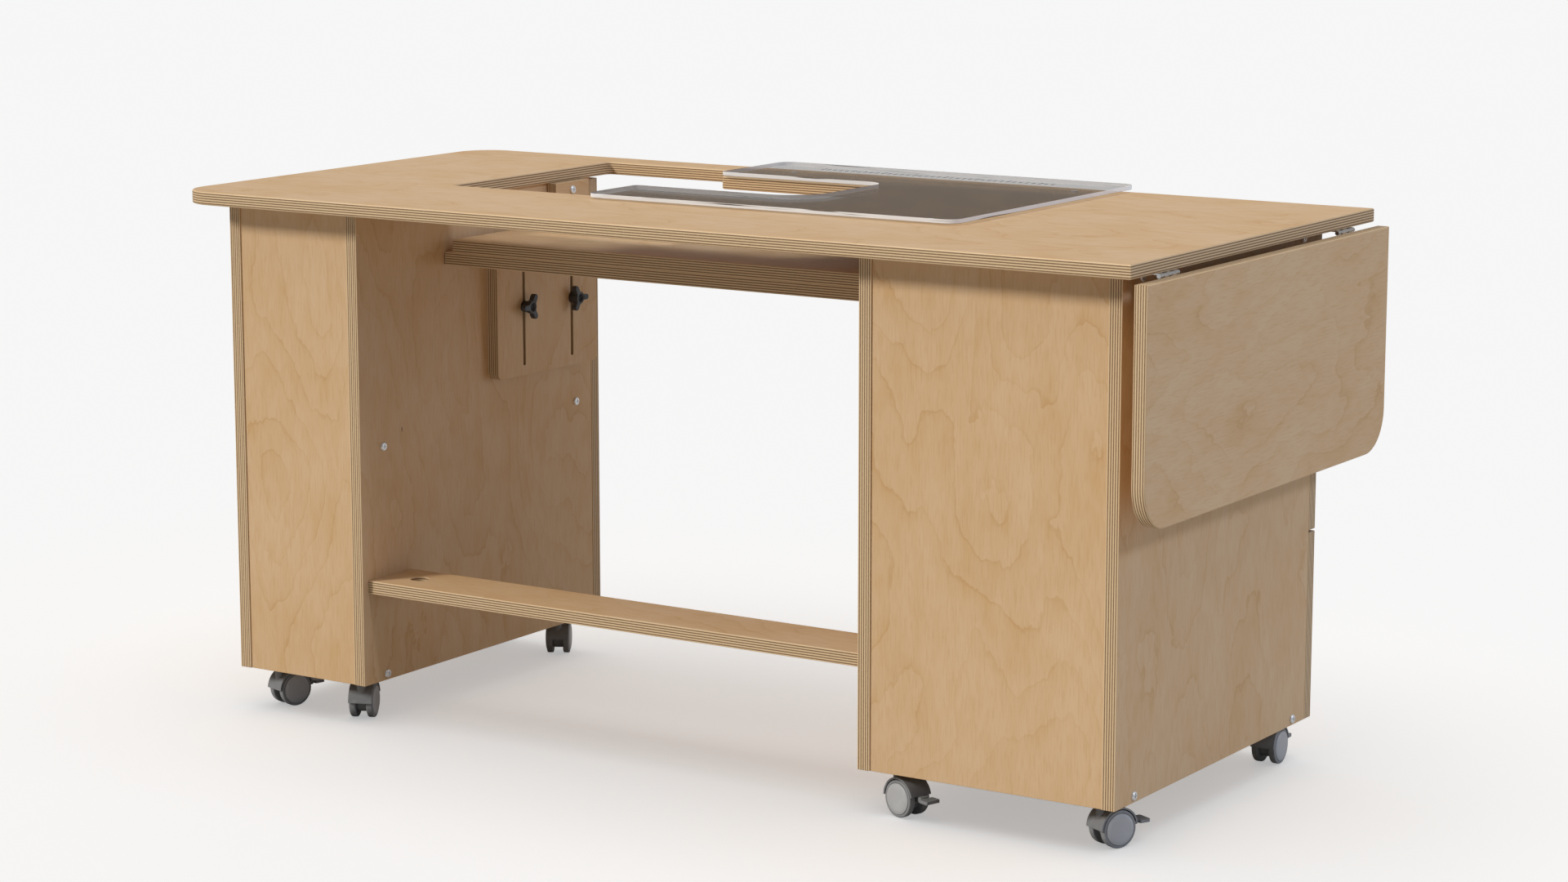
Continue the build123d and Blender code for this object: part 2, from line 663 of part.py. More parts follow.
def caster_hood(braked):
    """Hood over both wheels, with the web between them, the swivel tower and its stem."""
    hood = across(hood_sector(hood_outer) - Pos(CASTER_TRAIL, WHEEL_RADIUS) * Circle(hood_inner), hood_half)
    boss = Pos(CASTER_TRAIL, WHEEL_RADIUS) * Circle(AXLE_BOSS_RADIUS)
    hood += across(hood_sector(hood_outer) + boss, web_half)
    tower = rod((0, 0, WHEEL_RADIUS), (0, 0, 1), TOWER_RADIUS, tower_top - WHEEL_RADIUS)
    hood += tower
    hood += rod((0, 0, tower_top), (0, 0, 1), STEM_RADIUS, STEM_LENGTH)
    if braked:
        at_axle = Pos(CASTER_TRAIL, WHEEL_RADIUS) * Rot(0, 0, PEDAL_PIVOT_ANGLE)
        lug = at_axle * Pos(PEDAL_PIVOT_RADIUS / 2, 0) * Rectangle(PEDAL_PIVOT_RADIUS, 2 * PEDAL_LUG_RADIUS)
        lug += Pos(pivot_x, pivot_z) * Circle(PEDAL_LUG_RADIUS)
        hood += across(lug, PEDAL_LUG_WIDTH / 2)
        hood -= across(Pos(pivot_x, pivot_z) * Circle(PEDAL_PIN_RADIUS + RUNNING_FIT), hood_half)
    hood -= across(Pos(CASTER_TRAIL, WHEEL_RADIUS) * Circle(AXLE_RADIUS + RUNNING_FIT), hood_half)
    return hood


def caster_wheels():
    """Two wheels with domed caps, and the axle that they are pressed on, as separate solids."""
    inner = WHEEL_GAP / 2
    outer = inner + TREAD_WIDTH
    wheels = []
    for side in (-1, 1):
        start = axle + Vector(0, side * inner, 0)
        disc = rod(start, (0, side, 0), WHEEL_RADIUS, TREAD_WIDTH)
        disc = fillet(disc.edges().filter_by(GeomType.CIRCLE), ROUND_OVER)
        cap = rod(axle + Vector(0, side * outer, 0), (0, side, 0), CAP_RADIUS, CAP_DOME)
        rim = cap.edges().filter_by(GeomType.CIRCLE).sort_by_distance(axle)[-1]
        cap = fillet(rim, CAP_ROUND)
        wheels.append(disc + cap)
    return wheels + [rod(axle - Vector(0, inner, 0), (0, 1, 0), AXLE_RADIUS, WHEEL_GAP)]


def caster_pedal():
    """Brake pedal: two cheeks on a pin through the hood's lug, and a flat tread plate."""
    inner = PEDAL_LUG_WIDTH / 2 + PEDAL_GAP
    outer = inner + PEDAL_CHEEK
    reach = PEDAL_LUG_RADIUS + PEDAL_GAP
    cheek_shape = Pos(pivot_x, pivot_z) * Circle(PEDAL_LUG_RADIUS)
    cheek_shape += Pos(pivot_x + reach, pivot_z) * Rectangle(2 * reach, PEDAL_THICKNESS)
    pedal = across(cheek_shape, outer) - across(cheek_shape, inner)
    pedal += across(Pos(pivot_x, pivot_z) * Circle(PEDAL_PIN_RADIUS), outer)
    tread_x = (pivot_x + reach, pivot_x + reach + PEDAL_LENGTH)
    half = PEDAL_THICKNESS / 2
    tread = block(tread_x, (-PEDAL_WIDTH / 2, PEDAL_WIDTH / 2), (pivot_z - half, pivot_z + half))
    return pedal + fillet(tread.edges().filter_by(Axis.Z), ROUND_OVER)


for name, (angle, braked) in CASTER_STANCES.items():
    low, high = (left_out, left_in) if name.startswith("left") else (right_in, right_out)
    at_low = name.endswith("outer") == name.startswith("left")
    x = low + CASTER_INSET if at_low else high - CASTER_INSET
    y = side_back + CASTER_INSET if "back" in name else side_front - CASTER_INSET
    place = Pos(x, y, 0) * Rot(0, 0, angle)
    save(f"caster_hood_{name}", place * caster_hood(braked))
    save(f"caster_wheels_{name}", [place * piece for piece in caster_wheels()])
    if braked:
        save(f"caster_pedal_{name}", place * caster_pedal())
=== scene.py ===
import json
import math

import bpy
import numpy as np
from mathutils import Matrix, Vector


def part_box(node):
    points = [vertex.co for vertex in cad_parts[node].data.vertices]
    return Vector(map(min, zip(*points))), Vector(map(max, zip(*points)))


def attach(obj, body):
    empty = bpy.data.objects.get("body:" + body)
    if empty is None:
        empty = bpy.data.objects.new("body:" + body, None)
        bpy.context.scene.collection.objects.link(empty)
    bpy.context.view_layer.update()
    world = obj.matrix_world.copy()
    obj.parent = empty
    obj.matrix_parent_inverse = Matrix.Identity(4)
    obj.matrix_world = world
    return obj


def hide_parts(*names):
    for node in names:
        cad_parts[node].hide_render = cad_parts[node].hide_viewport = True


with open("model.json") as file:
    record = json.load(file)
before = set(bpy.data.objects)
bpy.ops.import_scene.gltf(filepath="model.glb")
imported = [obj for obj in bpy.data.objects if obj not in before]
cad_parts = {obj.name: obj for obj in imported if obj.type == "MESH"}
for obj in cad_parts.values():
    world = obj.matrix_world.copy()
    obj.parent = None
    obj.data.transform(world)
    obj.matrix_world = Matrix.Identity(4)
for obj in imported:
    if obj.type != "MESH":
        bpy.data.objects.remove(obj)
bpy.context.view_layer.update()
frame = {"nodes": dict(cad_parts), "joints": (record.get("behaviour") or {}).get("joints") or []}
MM = 0.001
X, Y, Z = 0, 1, 2


# Shader wiring
class Wire:
    """One shader socket. Arithmetic on wires adds Math nodes to the material's tree."""

    def __init__(self, tree, socket=None):
        self.tree = tree
        self.socket = socket

    def node(self, kind, settings=None, sockets=None, output=0):
        """Add a node: its settings are set first, then the values or links of its sockets."""
        made = self.tree.nodes.new("ShaderNode" + kind)
        for key, value in (settings or {}).items():
            setattr(made, key, value)
        for key, value in (sockets or {}).items():
            if isinstance(value, Wire):
                self.tree.links.new(value.socket, made.inputs[key])
            else:
                made.inputs[key].default_value = value
        return Wire(self.tree, made.outputs[output])

    def math(self, operation, first, second=0.0):
        return self.node("Math", {"operation": operation}, {0: first, 1: second})

    def __add__(self, other):
        return self.math("ADD", self, other)

    __radd__ = __add__

    def __sub__(self, other):
        return self.math("SUBTRACT", self, other)

    def __rsub__(self, other):
        return self.math("SUBTRACT", other, self)

    def __mul__(self, other):
        return self.math("MULTIPLY", self, other)

    def __truediv__(self, other):
        return self.math("DIVIDE", self, other)

    def __mod__(self, other):
        return self.math("FLOORED_MODULO", self, other)

    def __abs__(self):
        return self.math("ABSOLUTE", self)

    def __gt__(self, other):
        return self.math("GREATER_THAN", self, other)

    def __lt__(self, other):
        return self.math("LESS_THAN", self, other)

    def step(self, low, high):
        """Smooth step from 0 at low to 1 at high."""
        limits = {"Value": self, "From Min": low, "From Max": high}
        return self.node("MapRange", {"interpolation_type": "SMOOTHSTEP"}, limits)

    def mix(self, first, second):
        """Colour between first and second, with this wire as the factor."""
        return self.node("Mix", {"data_type": "RGBA"}, {0: self, 6: first, 7: second}, 2)


def vector(wire, x, y, z):
    return wire.node("CombineXYZ", None, {0: x, 1: y, 2: z})


def noise(point, scale=1.0, detail=2.0, roughness=0.5):
    sockets = {"Vector": point, "Scale": scale, "Detail": detail, "Roughness": roughness}
    return point.node("TexNoise", {"noise_dimensions": "3D"}, sockets)


def surface_material(name):
    """New material with its Principled shader, and the object coordinates as three wires."""
    material = bpy.data.materials.new(name)
    material.use_nodes = True
    tree = material.node_tree
    shader = tree.nodes["Principled BSDF"]
    place = Wire(tree).node("TexCoord", None, None, "Object")
    split = tree.nodes.new("ShaderNodeSeparateXYZ")
    tree.links.new(place.socket, split.inputs[0])
    return material, shader, place, [Wire(tree, out) for out in split.outputs]


def facing(place, axis):
    """How squarely the surface faces along one of the object's axes, from 0 to 1."""
    normal = place.node("TexCoord", None, None, "Normal")
    return abs(place.node("SeparateXYZ", None, {0: normal}, axis))


def feed(shader, **values):
    """Set or link the shader's sockets, named with underscores for spaces."""
    for key, value in values.items():
        socket = shader.inputs[key.replace("_", " ")]
        if isinstance(value, Wire):
            value.tree.links.new(value.socket, socket)
        else:
            socket.default_value = value


def bump(height, strength, distance):
    return height.node("Bump", None, {"Strength": strength, "Distance": distance, "Height": height})


# Plywood: colours, then the grain's waves per metre across and along
PLIES = 11
BIRCH_PALE = (0.650, 0.448, 0.258, 1)
BIRCH_WARM = (0.600, 0.370, 0.172, 1)
BIRCH_LINE = (0.500, 0.268, 0.095, 1)
BIRCH_KNOT = (0.120, 0.060, 0.030, 1)
PLY_PALE = (0.690, 0.500, 0.290, 1)
PLY_DARK = (0.205, 0.112, 0.050, 1)
GROWTH = (5.2, 2.2)
GROWTH_DRIFT = (30, 15)
GROWTH_LINES = 13
MOTTLE = (11, 6)
CLOUD = (60, 16)
FLECK = (430, 34)
FIBRE = (1100, 14)
KNOTS = (11, 4.5)
PLY_SWAY = (22, 22)
PLY_PORES = (420, 420)


def birch(name, thick, grain, low, thickness, seed):
    """Birch plywood: rotary-cut veneer on the faces and stacked plies on the edges.

    The growth lines are contour lines of a smooth field drawn out along the grain, which gives
    nested arches. On edges the colour alternates ply by ply through the thickness.
    """
    material, shader, place, axes = surface_material(name)
    along, side, through = axes[grain], axes[3 - thick - grain], axes[thick]

    def spread(waves, depth):
        return vector(place, side * waves[0], along * waves[1], depth)

    field = noise(spread(GROWTH, seed * 3.7), 1.0, 1.0, 0.4)
    drift = noise(spread(GROWTH_DRIFT, seed * 1.9), 1.0, 3.0, 0.55)
    year = (field * GROWTH_LINES + drift * 1.15) % 1.0
    line = (year.step(0.60, 0.97) * 0.28 + year.step(0.88, 0.975) * 0.72) * (1 - year.step(0.98, 1.0))
    mottle = noise(spread(MOTTLE, seed * 2.3), 1.0, 3.0, 0.55)
    cloud = noise(spread(CLOUD, seed), 1.0, 3.0, 0.6)
    fleck = noise(spread(FLECK, seed), 1.0, 3.0, 0.6)
    fibre = noise(spread(FIBRE, seed), 1.0, 1.0, 0.5)
    warmth = mottle.step(0.32, 0.74) * 0.50 + cloud.step(0.38, 0.72) * 0.34 + year * 0.16
    face = warmth.mix(BIRCH_PALE, BIRCH_WARM)
    face = (line * (0.25 + mottle.step(0.42, 0.62) * 0.75) * 0.46).mix(face, BIRCH_LINE)
    face = (fleck.step(0.44, 0.76) * 0.34).mix(face, BIRCH_LINE)
    face = (fibre.step(0.55, 0.80) * cloud.step(0.35, 0.70) * 0.26).mix(face, BIRCH_LINE)
    sockets = {"Vector": spread(KNOTS, seed), "Scale": 1.0}
    cells = place.node("TexVoronoi", {"feature": "F1"}, sockets, "Distance")
    chosen = noise(vector(place, side, along, seed * 3.7), 2.3, 0.0).step(0.50, 0.56)
    face = ((1 - cells.step(0.008, 0.026)) * chosen * 0.70).mix(face, BIRCH_KNOT)

    sway = noise(spread(PLY_SWAY, through * 40), 1.0, 1.0) - 0.5
    ply = ((through - low) % thickness) / thickness * PLIES + sway * 0.07
    band = 1 - abs((ply % 2.0) - 1.5).step(0.42, 0.56)
    pores = noise(spread(PLY_PORES, through * 900), 1.0, 1.0)
    edge = (band * (0.70 + pores * 0.40)).mix(PLY_PALE, PLY_DARK)
    on_face = facing(place, thick).step(0.62, 0.80)
    feed(
        shader,
        Base_Color=on_face.mix(edge, face),
        Roughness=0.46 + fleck * 0.12 - on_face * 0.06,
        Normal=bump(fleck + fibre * 0.5, 0.10, 0.0004),
        Specular_IOR_Level=0.30,
    )
    return material


def beech(name, grain):
    """Plain hardwood or drawer ply: straight fine streaks along the grain."""
    material, shader, place, axes = surface_material(name)
    others = [axes[i] for i in range(3) if i != grain]
    streak = noise(vector(place, others[0] * 60, others[1] * 60, axes[grain] * 3), 1.0, 3.0)
    fibre = noise(vector(place, others[0] * 800, others[1] * 800, axes[grain] * 20), 1.0, 1.0)
    colour = (streak.step(0.3, 0.7) * 0.7 + fibre * 0.3).mix(BIRCH_PALE, BIRCH_WARM)
    feed(shader, Base_Color=colour, Roughness=0.45 + fibre * 0.15, Normal=bump(fibre, 0.1, 0.0003))
    return material


def metal(name, colour, worn, roughness, shine):
    """Plated steel with a faint cloud in its polish."""
    material, shader, place, _ = surface_material(name)
    cloud = noise(place, 260.0, 3.0)
    feed(
        shader,
        Base_Color=cloud.step(0.3, 0.7).mix(colour, worn),
        Metallic=shine,
        Roughness=roughness + cloud * 0.14,
        Normal=bump(cloud, 0.04, 0.0002),
    )
    return material


def moulded(name, colour, pale, roughness, grain):
    """Moulded plastic with a fine spark-eroded grain and slight scuffing."""
    material, shader, place, _ = surface_material(name)
    speck = noise(place, grain, 2.0)
    scuff = noise(place, 70.0, 4.0)
    feed(
        shader,
        Base_Color=(scuff.step(0.45, 0.8) * 0.5 + speck * 0.2).mix(colour, pale),
        Roughness=roughness + scuff * 0.16 - speck * 0.05,
        Normal=bump(speck, 0.10, 0.0002),
    )
    return material


# Insert plate: its ruler, measured from the plate's ends and front, and its painted shade
RULER_PITCH = 10 * MM
RULER_TICK = 12 * MM
RULER_FIFTH = 5 * MM
RULER_BACK = 106 * MM
RULER_END = 87 * MM
RULER_INSET = 72 * MM
RULER_STROKE = 0.32
RULER_SKIN = 1 * MM
# The plate's body colour is painted shade and a dim painted reflection. It is full except near the
# plate's front, where it fades out between these two distances.
SHADE_ZONE_START = 92 * MM
SHADE_ZONE_FULL = 132 * MM
PLATE_PAINTED_SHADE = (0.050, 0.024, 0.005, 1)
PLATE_PAINTED_SHADE_PALE = (0.080, 0.042, 0.011, 1)
# Painted dark reflection and painted glint on the plate's rim
RIM_DARK_REFLECTION = (0.10, 0.10, 0.10, 1)
RIM_GLINT = (0.92, 0.93, 0.93, 1)
RULER_INK = (0.045, 0.045, 0.047, 1)


def clear_plate(name, low, high):
    """Clear acrylic with a printed ruler: plain ticks at a fixed pitch, every fifth one longer.

    Its dark brown body colour is painted shade and a dim painted reflection, standing for the shaded
    wood seen through it; it shows more at a slant, and fades toward the plate's front.
    """
    material, shader, place, axes = surface_material(name)
    along = axes[X] - (low.x + RULER_BACK)
    phase = (along % RULER_PITCH) / RULER_PITCH
    fifth = ((along / (5 * RULER_PITCH)) % 1.0) < 0.2
    depth = axes[Y] - (high.y - RULER_INSET)
    length = high.x - low.x - RULER_BACK - RULER_END
    ruler = (along > 0.0) * (along < length) * (axes[Z] > high.z - RULER_SKIN)
    ticks = ruler * (phase < RULER_STROKE) * (depth > 0.0) * (depth < fifth * RULER_FIFTH + RULER_TICK)
    plate_mottle = noise(place, 18.0, 2.0)
    rim = 1 - facing(place, Z).step(0.30, 0.85)
    slant = place.node("LayerWeight", None, {"Blend": 0.5}, "Facing").step(0.55, 0.88)
    # Painted shade zone: the dark body colour shows fully except in the strip along the plate's front
    tint = 1 - axes[Y].step(high.y - SHADE_ZONE_FULL, high.y - SHADE_ZONE_START)
    # Painted highlights: a noise mask of white glints and dark painted reflections along the rim
    rim_glint_mask = noise(vector(place, axes[X] * 9, axes[Y] * 9, axes[Z] * 260), 1.0, 1.0).step(0.27, 0.40)
    # Body colour is painted shade with a random mottle; the rim carries painted glints and dark
    # reflections
    colour = rim.mix(plate_mottle.step(0.30, 0.70).mix(PLATE_PAINTED_SHADE, PLATE_PAINTED_SHADE_PALE), rim_glint_mask.mix(RIM_DARK_REFLECTION, RIM_GLINT))
    feed(
        shader,
        Base_Color=ticks.mix(colour, RULER_INK),
        Roughness=0.03 + plate_mottle * 0.03,
        Alpha=0.06 + slant * (0.32 + tint * 0.36) + rim * 0.70 + ticks * 0.60,
        IOR=1.49,
        Specular_IOR_Level=0.02,
    )
    return material


# Pieces made from arrays of points
def own_corners(faces):
    """True at each corner of a quad that differs from the corner before it."""
    return faces != np.roll(faces, 1, 1)


def put(name, points, faces, material, body, slot):
    """Mesh object from arrays, riding on a body. A quad with a repeated corner becomes a triangle."""
    used, faces = np.unique(faces, return_inverse=True)
    faces = faces.reshape(-1, 4)
    kept = own_corners(faces)
    sides = kept.sum(1)
    mesh = bpy.data.meshes.new(name)
    mesh.vertices.add(len(used))
    mesh.vertices.foreach_set("co", points[used].ravel())
    mesh.loops.add(int(sides.sum()))
    mesh.loops.foreach_set("vertex_index", faces[kept])
    mesh.polygons.add(len(faces))
    mesh.polygons.foreach_set("loop_start", np.cumsum(sides) - sides)
    mesh.polygons.foreach_set("use_smooth", np.ones(len(faces), bool))
    mesh.update(calc_edges=True)
    mesh.materials.append(material)
    piece = bpy.data.objects.new(name, mesh)
    bpy.context.scene.collection.objects.link(piece)
    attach(piece, body)
    return piece


def axis_frame(axis):
    """A unit axis and two unit vectors square to it and to each other."""
    axis = np.array(axis, float)
    axis /= np.linalg.norm(axis)
    helper = np.array((0.0, 0.0, 1.0)) if abs(axis[2]) < 0.9 else np.array((1.0, 0.0, 0.0))
    first = np.cross(axis, helper)
    first /= np.linalg.norm(first)
    return axis, first, np.cross(axis, first)


def rings(radii, heights, centre, axis):
    """Closed surface of rings: centre + axis * h + r(t) * (e1 cos t + e2 sin t).

    radii holds one row per ring. The last ring joins the first, and a ring of radius 0 is one pole.
    """
    axis, first, second = axis_frame(axis)
    count, steps = radii.shape
    angle = np.linspace(0, 2 * np.pi, steps, endpoint=False)
    around = np.cos(angle)[:, None] * first + np.sin(angle)[:, None] * second
    points = centre + np.asarray(heights)[:, None, None] * axis + radii[:, :, None] * around[None]
    index = np.arange(count * steps).reshape(count, steps)
    index[radii.max(1) == 0] = index[radii.max(1) == 0, :1]
    ahead, beside = np.roll(index, -1, 0), np.roll(index, -1, 1)
    faces = np.stack([index, beside, np.roll(ahead, -1, 1), ahead], -1).reshape(-1, 4)
    return points.reshape(-1, 3), faces[own_corners(faces).sum(1) > 2]


def turned(profile, centre, axis, steps=48):
    """Turned piece: rings of one radius each, from rows of (r, h) in millimetres."""
    profile = np.array(profile, float) * MM
    return rings(np.repeat(profile[:, :1], steps, 1), profile[:, 1], centre, axis)


def rounded(profile, radius, steps=5):
    """Open profile with each inner corner replaced by a quadratic arc of about that radius."""
    points = [np.array(p, float) for p in profile]
    result = [points[0]]
    for before, corner, after in zip(points, points[1:], points[2:]):
        back, ahead = before - corner, after - corner
        reach = min(radius, np.linalg.norm(back) / 2, np.linalg.norm(ahead) / 2)
        start = corner + back / np.linalg.norm(back) * reach
        end = corner + ahead / np.linalg.norm(ahead) * reach
        t = np.linspace(0, 1, steps)[:, None]
        result.extend((1 - t) ** 2 * start + 2 * t * (1 - t) * corner + t ** 2 * end)
    return np.array(result + [points[-1]])


def join(*parts):
    """Several (points, faces) meshes as one."""
    offset = np.cumsum([0] + [len(points) for points, _ in parts[:-1]])
    points = np.concatenate([points for points, _ in parts])
    faces = np.concatenate([faces + o for (_, faces), o in zip(parts, offset)])
    return points, faces


# Plywood on every board: thickness axis, then grain axis
BOARDS = {
    "table_top": (Z, X),
    "drop_leaf": (X, Y),
    "left_outer_side": (X, Z),
    "left_inner_side": (X, Z),
    "right_inner_side": (X, Z),
    "right_outer_side": (X, Z),
    "left_back": (Y, Z),
    "right_back": (Y, Z),
    "left_bottom": (Z, Y),
    "right_bottom": (Z, Y),
    "left_shelf": (Z, Y),
    "pedestal_top_boards": (Z, Y),
    "foot_shelf": (Z, X),
    "top_cleats": (X, Y),
    "platform_deck": (Z, X),
    "platform_bearer": (Z, X),
    "slot_plates": (X, Z),
    "door": (Y, Z),
    "drawer_1_front": (Y, Z),
    "drawer_2_front": (Y, Z),
    "drawer_3_front": (Y, Z),
}
top_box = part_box("table_top")
BOARD = top_box[1].z - top_box[0].z


def dress(node, material):
    mesh = frame["nodes"][node].data
    mesh.materials.clear()
    mesh.materials.append(material)


for seed, (node, (thick, grain)) in enumerate(BOARDS.items()):
    dress(node, birch("birch_" + node, thick, grain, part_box(node)[0][thick], BOARD, seed + 1))
inner_wood = beech("drawer_wood", Y)
for node in frame["nodes"]:
    if node.endswith("_box") or node == "drawer_runners":
        dress(node, inner_wood)

zinc = metal("zinc_plate", (0.92, 0.92, 0.91, 1), (0.80, 0.80, 0.79, 1), 0.24, 0.72)
nickel = metal("nickel_plate", (0.78, 0.78, 0.78, 1), (0.66, 0.66, 0.67, 1), 0.10, 0.95)
knob_black = moulded("knob_black", (0.030, 0.031, 0.032, 1), (0.062, 0.064, 0.066, 1), 0.34, 2200)
# Near-black, much darker than the knob's plastic: painted shade in the knob's hollow
hollow_shade_black = moulded("hollow_shade_black", (0.004, 0.004, 0.004, 1), (0.008, 0.008, 0.008, 1), 0.55, 2200)
hood_grey = moulded("hood_grey", (0.205, 0.204, 0.200, 1), (0.290, 0.288, 0.282, 1), 0.30, 1800)
tyre_grey = moulded("tyre_grey", (0.225, 0.224, 0.220, 1), (0.305, 0.303, 0.298, 1), 0.42, 1500)
cap_grey = moulded("cap_grey", (0.430, 0.424, 0.410, 1), (0.530, 0.523, 0.506, 1), 0.36, 1500)
foot_clear = moulded("foot_clear", (0.55, 0.55, 0.55, 1), (0.65, 0.65, 0.65, 1), 0.30, 900)
for node in ("carcass_screws", "clamp_bolts"):
    dress(node, zinc)
for node in frame["nodes"]:
    if "hinge" in node:
        dress(node, nickel)
    elif node.startswith("knob"):
        dress(node, knob_black)
    elif node.startswith("caster_hood") or node.startswith("caster_pedal"):
        dress(node, hood_grey)
    elif node.startswith("caster_wheels"):
        dress(node, tyre_grey)
dress("insert_feet", foot_clear)

dress("clear_insert", clear_plate("clear_acrylic", *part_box("clear_insert")))


# Caster wheels: a soft tyre and a domed cap for each wheel
JOINTS = {joint["name"]: joint for joint in frame["joints"]}
WHEEL_RADIUS = 24.0
WHEEL_INNER = 7.5
WHEEL_OUTER = 16.5
AXLE_RADIUS = 2.5
TYRE_SOFT = 1.8
CAP_RADIUS = 20.3
CAP_SEAT = WHEEL_OUTER - 0.8
CAP_EDGE = WHEEL_OUTER + 0.7
CAP_FLAT = 15.5
CAP_HEIGHT = 18.9
CAP_SOFT = 1.6
CAP_PLAY = 0.3


def wheel_pair(name):
    """Both wheels of one caster, turned about the axle."""
    joint = JOINTS[f"wheels_{name}_roll"]
    centre = np.array(joint["pos_m"])
    axle = np.array(joint["axis"], float)
    tyre = rounded(
        [(AXLE_RADIUS, WHEEL_INNER), (WHEEL_RADIUS, WHEEL_INNER), (WHEEL_RADIUS, WHEEL_OUTER),
         (CAP_RADIUS, WHEEL_OUTER), (CAP_RADIUS, CAP_SEAT), (AXLE_RADIUS, CAP_SEAT)], TYRE_SOFT)
    cap_edge, cap_floor = CAP_RADIUS - CAP_PLAY, CAP_SEAT - 0.1
    cap = rounded(
        [(0, cap_floor), (cap_edge, cap_floor), (cap_edge, CAP_EDGE),
         (CAP_FLAT, CAP_HEIGHT - 0.4), (0, CAP_HEIGHT)], CAP_SOFT)
    rod = [(0, -WHEEL_INNER), (AXLE_RADIUS, -WHEEL_INNER), (AXLE_RADIUS, WHEEL_INNER), (0, WHEEL_INNER)]
    tyres = [turned(tyre, centre, axle * side) for side in (1, -1)]
    caps = [turned(cap, centre, axle * side) for side in (1, -1)]
    body = f"wheels_{name}"
    shape = join(*tyres, turned(rod, centre, axle, 16))
    rims = put(f"caster_tyres_{name}", *shape, tyre_grey, body, "caster_wheel")
    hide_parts(f"caster_wheels_{name}")
    put(f"caster_caps_{name}", *join(*caps), cap_grey, body, "caster_wheel")


for joint_name in JOINTS:
    if joint_name.startswith("wheels_"):
        wheel_pair(joint_name[len("wheels_"):-len("_roll")])


# Clamp knobs: a round hub that opens into three rounded arms
KNOB_HUB = 8.0
KNOB_CORE = 9.0
KNOB_REACH = 20.0
KNOB_TIP = 4.0
KNOB_UNDERSIDE = 8.0
KNOB_FACE = 16.0
KNOB_SOFT = 1.1
KNOB_STEPS = 144
KNOB_HOLLOW = [(6.2, KNOB_FACE), (5.8, KNOB_FACE - 0.4), (5.5, KNOB_FACE - 2.7), (0.0, KNOB_FACE - 2.7)]
SOCKET_FLOOR = KNOB_FACE - 2.9
SOCKET = [(0, SOCKET_FLOOR), (5.4, SOCKET_FLOOR), (5.4, SOCKET_FLOOR + 0.7), (3.4, SOCKET_FLOOR + 0.7),
          (3.0, SOCKET_FLOOR + 0.3), (0, SOCKET_FLOOR + 0.3)]


def knob_outline(angle):
    """Distance from the axis to the edge of three arms.

    Next to an arm's middle line it is the tip circle c cos a + sqrt(w^2 - c^2 sin^2 a), beside that the
    arm's flank w / sin a, and a power mean of order 8 blends this into the round core.
    """
    off = (angle + np.pi / 3) % (2 * np.pi / 3) - np.pi / 3
    middle = KNOB_REACH - KNOB_TIP
    inside = np.maximum(KNOB_TIP**2 - (middle * np.sin(off)) ** 2, 0)
    tip = middle * np.cos(off) + np.sqrt(inside)
    flank = KNOB_TIP / np.maximum(np.abs(np.sin(off)), 0.2)
    arm = np.where(inside > 0, tip, flank)
    return np.minimum((arm**8 + KNOB_CORE**8) ** (1 / 8), KNOB_REACH)


def clamp_knob(number):
    """Knob with softened arms and a hollow in its face, one row of radii for each height."""
    joint = JOINTS[f"knob_{number}_turn"]
    axis, first, second = axis_frame(joint["axis"])
    arm = np.array((0, -1 if number % 2 else 1, 0))
    angle = np.linspace(0, 2 * np.pi, KNOB_STEPS, endpoint=False)
    outline = knob_outline(angle - math.atan2(arm @ second, arm @ first))
    bend = np.radians(np.linspace(0, 90, 7))
    inset, rise = KNOB_SOFT * (1 - np.sin(bend)), KNOB_SOFT * (1 - np.cos(bend))
    rows = [(0.0, 0.0), (KNOB_HUB, 0.0), (KNOB_HUB, KNOB_UNDERSIDE - 0.4)]
    rows += [(np.maximum(outline - i, KNOB_HUB), KNOB_UNDERSIDE + r) for i, r in zip(inset, rise)]
    rows += [(outline - i, KNOB_FACE - r) for i, r in zip(inset[::-1], rise[::-1])]
    rows += KNOB_HOLLOW
    radii = np.array([np.broadcast_to(radius, KNOB_STEPS) for radius, _ in rows]) * MM
    heights = np.array([height for _, height in rows]) * MM
    centre, body = np.array(joint["pos_m"]), f"knob_{number}"
    shape = rings(radii, heights, centre, axis)
    piece = put(f"clamp_knob_{number}", *shape, knob_black, body, "knob_plastic")
    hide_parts(f"knob_{number}")
    # The socket disc is near-black to paint the shade of the deep hollow
    socket = turned(rounded(SOCKET, 0.3), centre, axis, 32)
    put(f"knob_socket_{number}", *socket, hollow_shade_black, body, "knob_plastic")


for knob_number in range(1, 5):
    clamp_knob(knob_number)


# Room, light and camera
FLOOR_HALF = 60.0
FLOOR_PALE = (0.940, 0.930, 0.915, 1)
FLOOR_BRIGHT = (0.952, 0.942, 0.927, 1)
FLOOR_GLOW = 0.405
SKY_BACK = (0.05, 0.05, 0.05, 1)
SKY_MIDDLE = (0.15, 0.15, 0.15, 1)
SKY_LEAF_END = (0.17, 0.21, 0.27, 1)
SKY_FRONT = (0.32, 0.32, 0.32, 1)
SKY_SEEN = (0.92, 0.92, 0.92, 1)
BLACK = (0, 0, 0, 1)
WHITE = (1, 1, 1, 1)


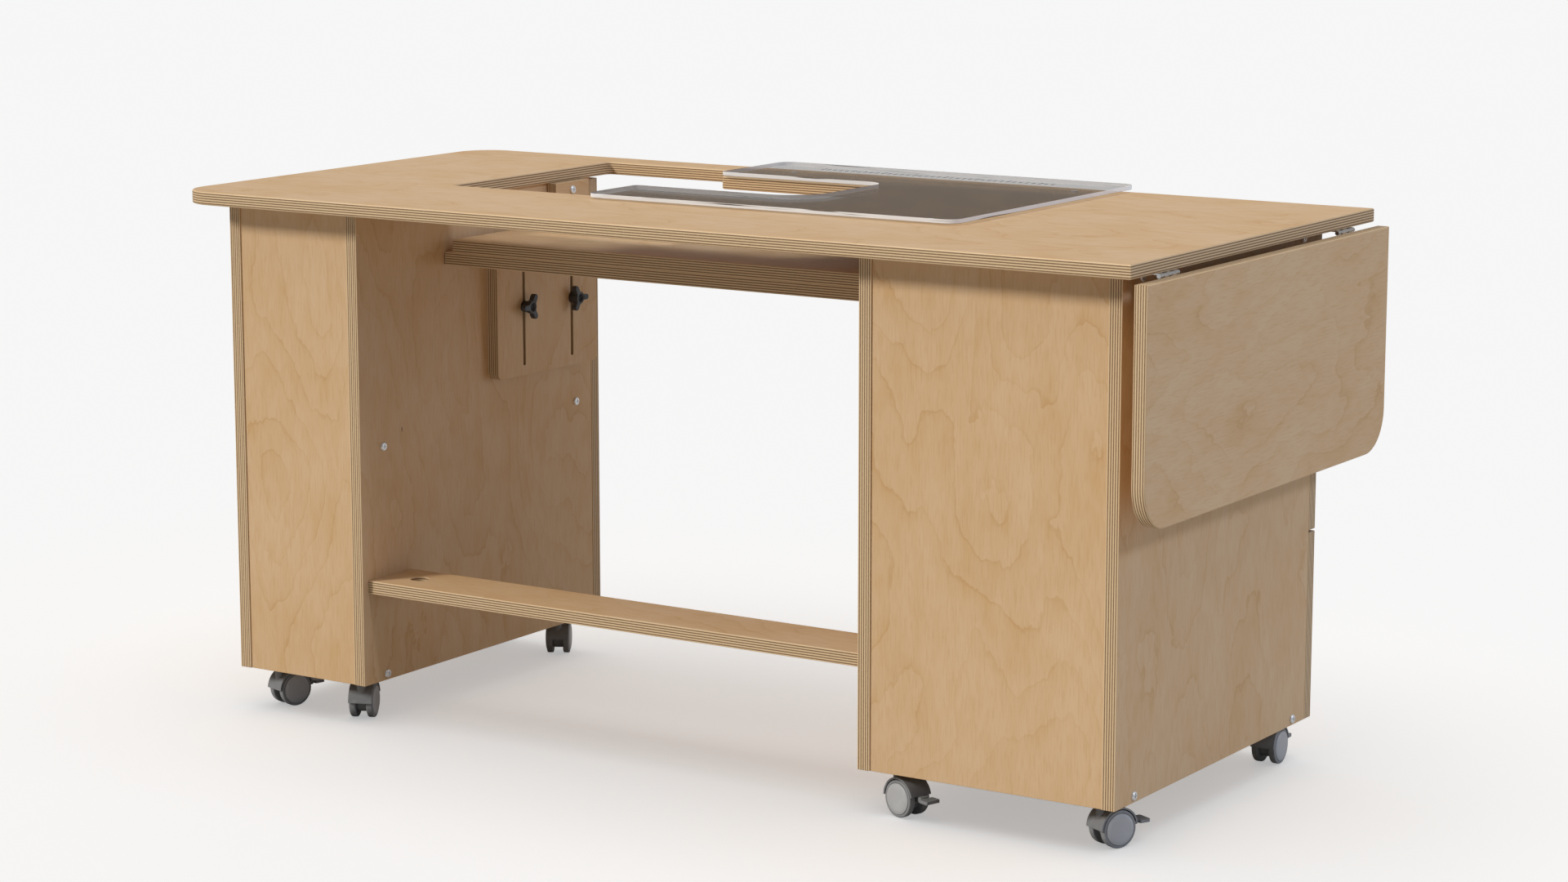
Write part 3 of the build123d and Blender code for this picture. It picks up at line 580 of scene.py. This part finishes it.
def floor():
    """Wide pale floor, a little brighter where it is seen directly."""
    half = FLOOR_HALF
    corners = [(-half, -half, 0), (half, -half, 0), (half, half, 0), (-half, half, 0)]
    mesh = bpy.data.meshes.new("studio_floor")
    mesh.from_pydata(corners, [], [(0, 1, 2, 3)])
    material, shader, place, _ = surface_material("pale_floor")
    tint = noise(place, 0.6, 2.0)
    seen = place.node("LightPath", None, None, "Is Camera Ray")
    feed(
        shader,
        Base_Color=tint.mix(FLOOR_PALE, FLOOR_BRIGHT),
        Roughness=0.9,
        Specular_IOR_Level=0.0,
        Emission_Color=seen.mix(BLACK, WHITE),
        Emission_Strength=FLOOR_GLOW,
    )
    mesh.materials.append(material)
    ground = bpy.data.objects.new("studio_floor", mesh)
    bpy.context.scene.collection.objects.link(ground)
    return ground


def sun(name, direction, strength, angle, colour=(1, 1, 1), spared=None):
    """Distant lamp that shines along the direction, on everything but the spared object."""
    light = bpy.data.lights.new(name, "SUN")
    light.color = colour
    light.energy = strength
    light.angle = math.radians(angle)
    lamp = bpy.data.objects.new(name, light)
    lamp.rotation_euler = Vector(direction).to_track_quat("-Z", "Y").to_euler()
    bpy.context.scene.collection.objects.link(lamp)
    if spared:
        apart = bpy.data.collections.new(name + "_spares")
        apart.objects.link(spared)
        apart.collection_objects[0].light_linking.link_state = "EXCLUDE"
        lamp.light_linking.receiver_collection = apart


def studio_sky():
    """Dim sky, darkest at the back, bright at the front and cool beyond the leaf.

    Where it is seen directly it is pale.
    """
    world = bpy.data.worlds.new("studio")
    world.use_nodes = True
    tree = world.node_tree
    toward = Wire(tree).node("TexCoord", None, None, "Generated")
    far = toward.node("SeparateXYZ", None, {0: toward}, Y)
    beside = toward.node("SeparateXYZ", None, {0: toward}, X).step(0.1, 0.8)
    colour = far.step(-0.7, 0.0).mix(SKY_BACK, SKY_MIDDLE)
    colour = beside.mix(colour, SKY_LEAF_END)
    colour = far.step(-0.1, 0.6).mix(colour, SKY_FRONT)
    colour = toward.node("LightPath", None, None, "Is Camera Ray").mix(colour, SKY_SEEN)
    tree.links.new(colour.socket, tree.nodes["Background"].inputs[0])
    bpy.context.scene.world = world


CAMERA_TURN = 32.83
CAMERA_TILT = 10.12
CAMERA_LENS = 85.31
CAMERA_OFFSET = (1973.55 * MM, -3797.93 * MM, 553.97 * MM)


def camera():
    """Camera placed from the top's back right corner."""
    low, high = top_box
    corner = np.array((high.x, low.y, high.z))
    data = bpy.data.cameras.new("studio_camera")
    data.lens = CAMERA_LENS
    data.sensor_width = 36.0
    data.clip_end = 200
    body = bpy.data.objects.new("studio_camera", data)
    body.location = corner + np.array(CAMERA_OFFSET)
    body.rotation_euler = (math.radians(90 - CAMERA_TILT), 0, math.radians(CAMERA_TURN))
    bpy.context.scene.collection.objects.link(body)
    bpy.context.scene.camera = body


ground = floor()
camera()
studio_sky()
sun("overhead", (0.05, 0.10, -1), 1.14, 70)
sun("key", (0.52, 0.80, -0.58), 2.35, 12, spared=ground)
sun("side", (-0.85, 0.05, -0.60), 0.72, 10, (0.74, 0.85, 1.16), spared=ground)
sun("fill", (-0.80, -0.60, -0.14), 0.24, 20, (0.80, 0.92, 1.16), spared=ground)
bpy.context.scene.view_settings.view_transform = "Standard"
